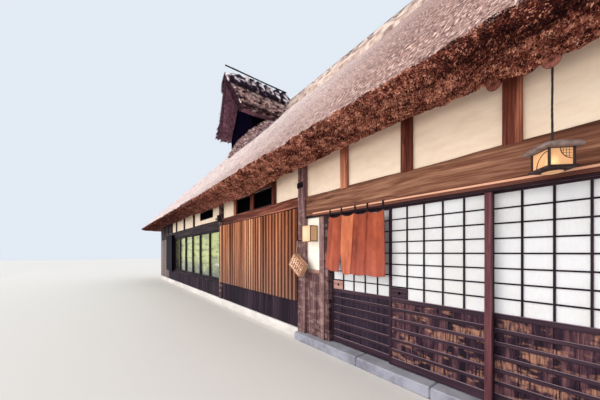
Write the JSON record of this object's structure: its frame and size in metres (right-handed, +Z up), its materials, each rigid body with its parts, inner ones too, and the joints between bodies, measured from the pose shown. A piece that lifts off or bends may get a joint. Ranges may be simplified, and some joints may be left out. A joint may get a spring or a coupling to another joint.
{
  "type": "minka farmhouse",
  "caption": "Thatched timber farmhouse with sliding entrance doors, bar screen, glazed veranda, hipped thatch roof and smoke-vent gable.",
  "frame": {"origin": "middle of the footprint at ground level", "axes": "+Z up, +X along the front towards the entrance end, -Y out of the front wall"},
  "size_m": [20.08, 10.54, 8.8443],
  "materials": {
    "timber": "weathered, dark brown, satin",
    "dark_timber": "smoked near-black boards, matt",
    "beam_timber": "natural brown adzed wood, satin",
    "red_timber": "sun-bleached red-brown bars, matt",
    "door_timber": "dark stained, weathered boards",
    "door_paper": "white translucent screen paper, matt",
    "plaster": "cream lime plaster, matt",
    "plinth_plaster": "white lime plaster, matt",
    "stone": "grey dressed stone, matt",
    "earth": "packed earth, matt",
    "glass": "clear window glass",
    "thatch": "pinkish beige weathered reed, cut ends reddish brown",
    "ridge_bark": "grey bark and straw bundles, matt",
    "cloth": "persimmon-dyed cloth, matt",
    "lamp_paper": "warm amber paper",
    "lamp_metal": "grey-brown, matt",
    "wicker": "woven split bamboo"
  },
  "bodies": {
    "house": {"back_frame": "timber", "back_wall": "plaster", "bar_screen": "red_timber", "basket": "wicker", "door_4": "door_timber", "door_4_paper": "door_paper", "door_lintel": "red_timber", "door_mullion": "timber", "door_post_left": "timber", "door_post_right": "timber", "dormer_cap": "ridge_bark", "dormer_pole": "dark_timber", "dormer_thatch": "thatch", "dormer_wall": "dark_timber", "earth_floor": "earth", "eave_log": "timber", "eave_log_left": "timber", "entrance_beam": "beam_timber", "entrance_curtain": "cloth", "entrance_post": "timber", "foundation": "plinth_plaster", "front_boards": "dark_timber", "lantern_body": "lamp_paper", "lantern_roof": "lamp_metal", "left_side_frame": "timber", "left_side_wall": "plaster", "narrow_boards": "timber", "narrow_plaster": "plaster", "raised_floor": "beam_timber", "ridge_cap": "thatch", "ridge_pole": "dark_timber", "right_side_frame": "timber", "right_side_wall": "plaster", "right_wall": "plaster", "screen_beam": "timber", "screen_post": "timber", "screen_wall": "dark_timber", "shutter_box": "dark_timber", "small_window": "dark_timber", "stone_sill": "stone", "thatch_back": "thatch", "thatch_front": "thatch", "thatch_left": "thatch", "thatch_right": "thatch", "upper_wall_left": "plaster", "upper_wall_middle": "plaster", "upper_wall_right": "plaster", "upper_window": "dark_timber", "veranda_beam": "timber", "veranda_glass": "glass", "veranda_panels": "dark_timber", "wall_lantern": "lamp_paper", "wall_plate": "timber"},
    "door_1": {"door_1": "door_timber", "door_1_paper": "door_paper"},
    "door_2": {"door_2": "door_timber", "door_2_paper": "door_paper"},
    "door_3": {"door_3": "door_timber", "door_3_paper": "door_paper"}
  },
  "joints": [
    {"name": "door_1_slide", "type": "slide", "parent": "house", "child": "door_1", "axis": [1, 0, 0], "range_m": [0, 0.9]},
    {"name": "door_2_slide", "type": "slide", "parent": "house", "child": "door_2", "axis": [-1, 0, 0], "range_m": [0, 0.9]},
    {"name": "door_3_slide", "type": "slide", "parent": "house", "child": "door_3", "axis": [1, 0, 0], "range_m": [0, 0.9]}
  ]
}
